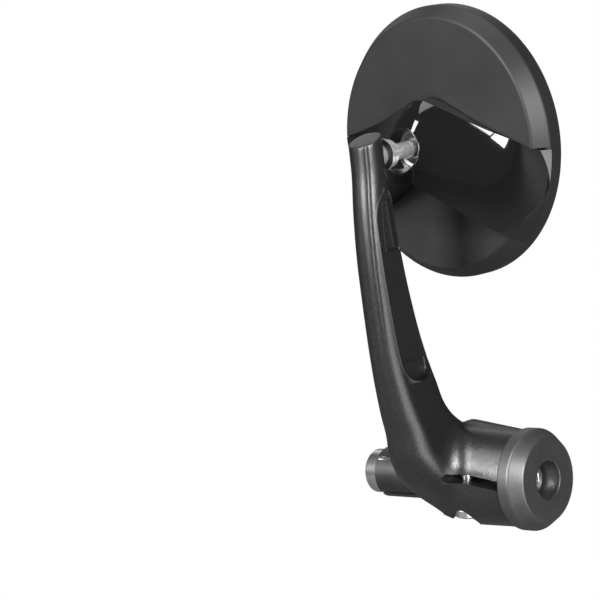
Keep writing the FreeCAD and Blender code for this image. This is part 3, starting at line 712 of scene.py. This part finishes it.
# shell of the head: flat back, chamfer and rim, sizes in mm along the ball's own axis
shell = {"face": 6.0, "faceRadius": 42.3, "radius": 46.0, "chamfer": 5.0, "rim": 5.4, "wall": 1.7,
         "inside": 8.0, "insideRadius": 39.6, "ledge": (7.0, 42.2), "shelf": (5.0, 40.6), "hole": 9.2,
         "patch": 41.2, "step": 4.2, "ease": 0.25, "lip": 0.07}


# the face is two patches, above and below the band: v runs from the band's edge e(u) to the circle's arc
# sqrt(R^2 - u^2); a wall goes down along the band's edge
def facePatch(upper):
    s = shell
    u = s["patch"] * np.sin(np.linspace(-pi / 2, pi / 2, 181))
    edge = bandEdges(u)[0 if upper else 1]
    arc = np.sqrt(np.maximum(s["patch"] ** 2 - u ** 2, 0)) * (1 if upper else -1)
    inside = arc > edge if upper else arc < edge
    u, edge, arc = u[inside], edge[inside], arc[inside]
    t = np.linspace(0, 1, 24)[:, None]
    v = edge + (arc - edge) * t
    flat = np.stack([u + 0 * v, s["face"] + 0 * v, v], -1)
    away = 1 if upper else -1
    wall = np.stack([np.stack([u, s["face"] + drop + 0 * u, edge], -1) for drop in (s["step"], s["ease"])])
    lip = np.stack([u, s["face"] + s["lip"] + 0 * u, edge + away * s["lip"]], -1)[None]
    flat[0] = np.stack([u, s["face"] + 0 * u, edge + away * s["ease"]], -1)
    return np.concatenate([wall, lip, flat])


# a turned ring of chamfer, rim and inside, with the two patches of the face
def addShell():
    s = shell
    (ledge, ledgeRadius), (shelf, shelfRadius) = s["ledge"], s["shelf"]
    front = s["face"] + s["chamfer"] + s["rim"]
    corners = [(s["face"], s["patch"], 0), (s["face"], s["faceRadius"], 0.7),
               (s["face"] + s["chamfer"], s["radius"], 0.6), (front, s["radius"], 0.5),
               (front, s["radius"] - s["wall"], 0.4), (s["face"] + ledge, s["radius"] - s["wall"], 0.2),
               (s["face"] + ledge, ledgeRadius, 0.2), (s["face"] + shelf, ledgeRadius, 0.2),
               (s["face"] + shelf, shelfRadius, 0.2), (s["inside"] + 1, shelfRadius, 0.2),
               (s["inside"], s["insideRadius"], 0.2), (s["inside"], s["hole"], 0)]
    profile = eased(corners)
    u = np.linspace(25, s["radius"], 2000)
    ends = []                                       # angles at which the band's two edges leave the face
    for edge in bandEdges(u):
        i = np.argmin(np.abs(np.hypot(u, edge) - s["faceRadius"]))
        ends.append(np.arctan2(edge[i], u[i]))
    turns = np.array([ends[0], ends[1], pi - ends[0], pi - ends[1]]) % (2 * pi)
    q = np.concatenate([np.linspace(0, 2 * pi, 256, endpoint=False), turns - 0.002, turns + 0.002])
    q = np.sort(q % (2 * pi))
    tilt = np.arctan2(np.sin(q), np.abs(np.cos(q)))
    under = (tilt < ends[0]) & (tilt > ends[1])     # columns that lie under the band's ends
    along = np.where(under, np.maximum(profile[:, :1], s["face"] + s["step"]), profile[:, :1])
    r = profile[:, 1:]
    ring = np.stack([r * np.cos(q), along, r * np.sin(q)], -1)
    grids = [(ring * mm, gridFaces(len(profile), len(q), True))]
    for patch in (facePatch(True), facePatch(False)):
        grids.append((patch * mm, gridFaces(*patch.shape[:2])))
    addPiece("shell", "back_shell", grids, headPlace)


# gloss band over the back: half rows of (across, height) in mm for its upper edge, and for how far it stands
# over the face at its upper edge (crest) and at its lower edge (ridge): a nose between two flat wings
band = {
    "upper": [(0, 15.5), (9.2, 12.56), (18.86, 8.37), (30.82, 4.03), (42.32, 0.47), (50.6, -2.0)],
    "crest": [(0, 7.0), (2.76, 6.9), (5.5, 6.4), (8.0, 5.6), (12.0, 4.64), (50.6, -3.1)],
    "ridge": [(0, 18.0), (2.76, 18.0), (4.5, 17.8), (6.5, 17.0), (8.5, 15.9), (50.6, -9.36)],
    "arch": 10.6, "flat": 5.0, "soft": 0.5, "slope": 34.2, "rise": 3.5, "thick": 0.5, "middle": 11.0,
    "hole": 6.2, "taper": 6.5, "room": 9.6, "lip": 0.28, "bevel": 0.35, "sink": 4.4, "skirt": 0.4,
    "tuck": 1.2,
    "bore": [(6.695, -4.35), (7.2, -3.49), (7.75, -1.98), (7.98, -0.5), (9.6, -0.3)],
}


# upper and lower edge: the lower one is level under the nose, then a ramp log(1 + e^t) with a soft start
def bandEdges(u):
    beyond = np.log1p(np.exp((np.abs(u) - band["flat"]) / band["soft"])) * band["soft"]
    return through(band["upper"], u), -band["arch"] - beyond * tan(radians(band["slope"]))


# height over the shell's face: h = crest + (ridge - crest) (1 - (1 - b)^rise), where b goes from 0 at the
# upper to 1 at the lower edge
def bandHeight(u, v):
    top, low = bandEdges(u)
    b = np.clip((top - v) / (top - low), 0, 1)
    crest, ridge = through(band["crest"], u), through(band["ridge"], u)
    return crest + (ridge - crest) * (1 - (1 - b) ** band["rise"])


# two wings and a nose patch, each with an underside, walls between them, and a bore for the stud
def addBand():
    w = band
    across, down, rings, width = 46, 40, 9, 60
    face, rim = shell["faceRadius"], shell["radius"]
    fall = shell["chamfer"] / (rim - face)          # drop of the chamfer for each mm outwards
    over = w["thick"] * sqrt(1 + fall ** 2)         # the band's skin over the chamfer, along the axis
    b = (np.linspace(0, 1, down) ** 1.5)[None]      # closer lines near the upper edge

    def lift(u, v, sunk):  # y of the top skin, or of the underside sunk into the shell
        return np.full_like(u, shell["face"] + w["sink"]) if sunk else shell["face"] - bandHeight(u, v)

    def wing(side, sunk):
        end = np.full_like(b, face)
        for _ in range(60):  # where each line of constant b meets the skin over the chamfer
            top, low = bandEdges(end)
            v = top + (low - top) * b
            reach = np.clip(face + (over - bandHeight(end, v)) / fall, face - 6, rim + w["thick"])
            end = 0.6 * end + 0.4 * np.sqrt(np.maximum(reach ** 2 - v ** 2, 1))
        s = np.linspace(0, 1, across)[:, None]
        u = w["middle"] + (end - w["middle"]) * s
        top, low = bandEdges(u)
        v = top + (low - top) * b
        flat = np.stack([u * side, lift(u, v, sunk), v], -1)
        # over the chamfer: straight out along each radius, then down the rim
        last = flat[-1:, :, :]
        away = np.hypot(last[..., 0], last[..., 2])
        grow = away + (rim + w["thick"] - away) * np.array([0.1, 0.4, 0.7, 1.0, 1.0])[:, None]
        drop = shell["face"] - over + (grow - face) * fall + np.array([0, 0, 0, 0, w["skirt"]])[:, None]
        grow[-1] = rim - 0.05                       # the end's edge closes on the shell's rim
        if sunk:
            grow, drop = grow - w["tuck"], np.maximum(drop, shell["face"] + w["sink"])
        curl = np.stack([last[..., 0] / away * grow, drop, last[..., 2] / away * grow], -1)
        return np.concatenate([flat, curl])

    def centre(sunk):
        m = w["middle"]
        line = np.linspace(-m, m, width)
        top, low = bandEdges(line)
        sideTop, sideLow = bandEdges(np.array([m]))
        sideV = sideTop + (sideLow - sideTop) * b[0]
        loop = np.concatenate([
            np.stack([line, top], -1)[:-1], np.stack([np.full(down, m), sideV], -1)[:-1],
            np.stack([line, low], -1)[::-1][:-1], np.stack([np.full(down, -m), sideV], -1)[::-1][:-1]])
        q = np.arctan2(loop[:, 1], loop[:, 0])
        radius = np.full_like(q, w["room"] if sunk else w["hole"])
        for _ in range(0 if sunk else 12):  # the hole widens outwards: r = hole - y tan(taper)
            y = lift(radius * np.cos(q), radius * np.sin(q), False)
            radius = w["hole"] - y * tan(radians(w["taper"]))
        hole = radius[:, None] * np.stack([np.cos(q), np.sin(q)], -1)
        t = np.linspace(0, 1, rings)[:, None, None]
        flat = hole + (loop - hole) * t
        u, v = flat[..., 0], flat[..., 1]
        return np.stack([u, lift(u, v, sunk), v], -1)

    grids = []
    tops, foots = [wing(1, False), wing(-1, False)], [wing(1, True), wing(-1, True)]
    for skin in tops + foots:
        grids.append((skin * mm, gridFaces(*skin.shape[:2])))
    for skin, foot in zip(tops, foots):  # walls along the upper edge, the lower edge and the end
        for pick in (np.s_[:, 0], np.s_[:, -1], np.s_[-1, :]):
            wall = np.stack([skin[pick], foot[pick]])
            grids.append((wall * mm, gridFaces(*wall.shape[:2])))
    nose, under = centre(False), centre(True)
    for skin in (nose, under):
        grids.append((skin * mm, gridFaces(*skin.shape[:2], True)))
    count = nose.shape[1]
    start = width + down - 2                        # where the lower edge starts in the loop
    for pick in (np.s_[:width], np.s_[start:start + width]):
        wall = np.stack([nose[-1, pick], under[-1, pick]])
        grids.append((wall * mm, gridFaces(*wall.shape[:2])))
    # bore: down from the hole's rim, out over the ball's socket, and down to the underside
    q = np.arctan2(nose[0, :, 2], nose[0, :, 0])
    rows = [nose[0]]
    for radius, y in w["bore"]:
        rows.append(np.stack([radius * np.cos(q), np.full(count, y), radius * np.sin(q)], -1))
    bore = np.stack(rows + [under[0]])
    grids.append((bore * mm, gridFaces(len(bore), count, True)))
    # rounded lip astride the hole's rim: P(q) + lip (cos s, sin s) in the radius and the axis
    s = np.linspace(0, 2 * pi, 16, endpoint=False)[:, None]
    out = np.stack([np.cos(q), 0 * q, np.sin(q)], -1)
    axis = np.array([0.0, 1.0, 0.0])
    lip = nose[0] + w["lip"] * (np.cos(s)[..., None] * out + np.sin(s)[..., None] * axis)
    ringOf = gridFaces(17, count, True) % (16 * count)
    piece = addPiece("band", "gloss_band", grids, headPlace, 30.0)
    edge = piece.modifiers.new("edge", "BEVEL")
    edge.width, edge.segments = w["bevel"] * mm, 3
    edge.limit_method, edge.angle_limit = "ANGLE", radians(38)
    edge.harden_normals = True
    addPiece("holeLip", "gloss_band", [(lip * mm, ringOf)], headPlace, 60.0)


addShell()
addBand()
print("shell and band made")

# end cap, its screw and the nut of the plug, turned about the bar
cap = {"back": 25.2, "shoulder": 29.5, "front": 33.8, "radius": 17.0, "face": 13.9, "counterbore": 6.35,
       "floor": 20.6, "spigot": 8.0, "cone": 5.0, "coneRadius": 5.5, "bore": 3.3}


def addCap():
    c = cap
    corners = [(-c["cone"], c["bore"], 0), (-c["cone"], c["coneRadius"], 0.2), (0, c["spigot"], 0.2),
               (c["back"], c["spigot"], 0.1), (c["back"], c["radius"], 0.5),
               (c["shoulder"], c["radius"], 0.6), (c["front"], c["face"], 0.5),
               (c["front"], c["counterbore"], 0.5), (c["floor"], c["counterbore"], 0.2),
               (c["floor"], c["bore"], 0.1), (-c["cone"], c["bore"], 0)]
    addPiece("cap", "end_cap", [spun(eased(corners), 192)], barPlace)


screw = {"seat": 21.8, "head": 6.0, "headRadius": 5.0, "radius": 3.0, "end": -41.6, "key": 5.0,
         "keyDepth": 3.2}
pinch = {"drop": 14.7, "head": 2.8, "headRadius": 4.25, "radius": 2.5, "end": -6.0, "key": 4.0,
         "keyDepth": 1.8, "slotEnd": (7.1, 0.0, 4.0), "slope": 9.0, "place": (1.8, -10.95)}


def screwGrids(s, seat):
    face = seat + s["head"]
    corners = [(s["end"], 0, 0), (s["end"], s["radius"] - 0.1, 0.3), (s["end"] + 1.2, s["radius"], 0.1),
               (seat, s["radius"], 0.1), (seat, s["headRadius"], 0.25), (face, s["headRadius"], 0.6),
               (face, s["key"] * 0.7, 0)]
    return keySocket(eased(corners), s["key"], face, s["keyDepth"])


def addScrews():
    addPiece("centreScrew", "centre_screw", screwGrids(screw, screw["seat"]), barPlace)
    x, y = pinch["place"]
    place = (Matrix.Translation(Vector(pinch["slotEnd"]) * mm)
             @ Matrix.Rotation(radians(pinch["slope"]), 4, "Y")
             @ Matrix.Translation(Vector((x, y, 0)) * mm) @ Matrix.Rotation(radians(-90), 4, "X"))
    addPiece("pinchScrew", "pinch_screw", screwGrids(pinch, pinch["drop"] - pinch["head"]), place)


coneNut = {"back": -34.1, "tip": -29.1, "tipRadius": 5.5, "coneRadius": 7.9, "flange": 7.6, "end": -39.6,
           "bore": 3.05}


def addConeNut():
    n = coneNut
    corners = [(n["tip"], n["bore"], 0), (n["tip"], n["tipRadius"], 0.3), (n["back"], n["coneRadius"], 0.15),
               (n["back"], n["flange"], 0.1), (n["end"], n["flange"], 0.6), (n["end"], n["bore"], 0.2),
               (n["tip"], n["bore"], 0)]
    addPiece("coneNut", "cone_nut", [spun(eased(corners), 96)], barPlace)


addCap()
addScrews()
addConeNut()
print("cap, screws and plug nut made")

# ball stud with its washer and lock nut, turned about the stud; distances from the ball's centre
stud = {"ball": 5.5, "neck": 2.8, "neckEnd": 8.0, "thread": 3.5, "nose": 18.1, "end": 27.7}
nut = {"back": 22.1, "step": 20.5, "nose": 18.1, "stepRadius": 5.25, "noseRadius": 4.75, "bore": 3.55}
washer = {"back": 22.7, "front": 22.1, "radius": 5.4, "bore": 3.8}


def addStud():
    s = stud
    shank = eased([(-s["end"], 0, 0), (-s["end"], s["thread"] - 0.3, 0.2),
                   (-s["end"] + 0.6, s["thread"], 0.2), (-s["nose"], s["thread"], 0.05),
                   (-s["nose"] + 0.1, s["neck"], 0.03), (-s["neckEnd"], s["neck"], 0)])
    root = np.arccos(sqrt(s["ball"] ** 2 - s["neck"] ** 2) / s["ball"])
    a = np.linspace(root, pi - root, 40)            # polar angle over the ball, from the neck
    ball = np.stack([-s["ball"] * np.cos(a), s["ball"] * np.sin(a)], -1)
    profile = np.concatenate([shank, ball, [[ball[-1, 0], 0]]])
    addPiece("stud", "ball_stud", [spun(profile, 128)], studPlace)


def addNut():
    n = nut
    corners = [(-n["back"], n["bore"], 0), (-n["back"], n["stepRadius"], 0.35),
               (-n["step"], n["stepRadius"], 0.4), (-n["step"], n["noseRadius"], 0.12),
               (-n["nose"], n["noseRadius"], 0.45), (-n["nose"], n["bore"], 0.2), (-n["back"], n["bore"], 0)]
    addPiece("lockNut", "lock_nut", [spun(eased(corners), 128)], studPlace)
    w = washer
    ring = [(-w["back"], w["bore"], 0), (-w["back"], w["radius"], 0.15), (-w["front"], w["radius"], 0.15),
            (-w["front"], w["bore"], 0.05), (-w["back"], w["bore"], 0)]
    addPiece("studWasher", "stud_washer", [spun(eased(ring), 128)], studPlace)


addStud()
addNut()
print("stud made")

# mirror glass: a shallow dome y = edge + sqrt(R^2 - r^2) - sqrt(R^2 - rim^2), and the rubber seal around it
glass = {"back": 13.5, "thick": 2.0, "radius": 43.2, "curve": 1200.0, "bevel": 0.5}
seal = {"seat": 13.0, "front": 15.5, "inner": 43.25, "outer": 44.25, "foot": 42.2, "footTop": 13.45}


def addGlass():
    g = glass
    r = np.linspace(0, 1, 40) * (g["radius"] - g["bevel"])
    dome = np.sqrt(g["curve"] ** 2 - r ** 2) - sqrt(g["curve"] ** 2 - g["radius"] ** 2)
    front = np.stack([g["back"] + g["thick"] + dome, r], -1)
    back = np.stack([g["back"] + dome, r], -1)
    rim = np.array([[g["back"] + g["thick"] - g["bevel"] * 0.8, g["radius"]], [g["back"] + 0.1, g["radius"]]])
    addPiece("mirrorGlass", "mirror_glass", [spun(np.concatenate([front, rim, back[::-1]]), 192)], headPlace)
    s = seal
    ring = [(s["seat"], s["foot"], 0), (s["seat"], s["outer"], 0.2), (s["front"], s["outer"], 0.35),
            (s["front"], s["inner"], 0.35), (s["footTop"], s["inner"], 0.1), (s["footTop"], s["foot"], 0.1),
            (s["seat"], s["foot"], 0)]
    addPiece("glassSeal", "glass_seal", [spun(eased(ring), 192)], headPlace)


addGlass()
print("glass and seal made")
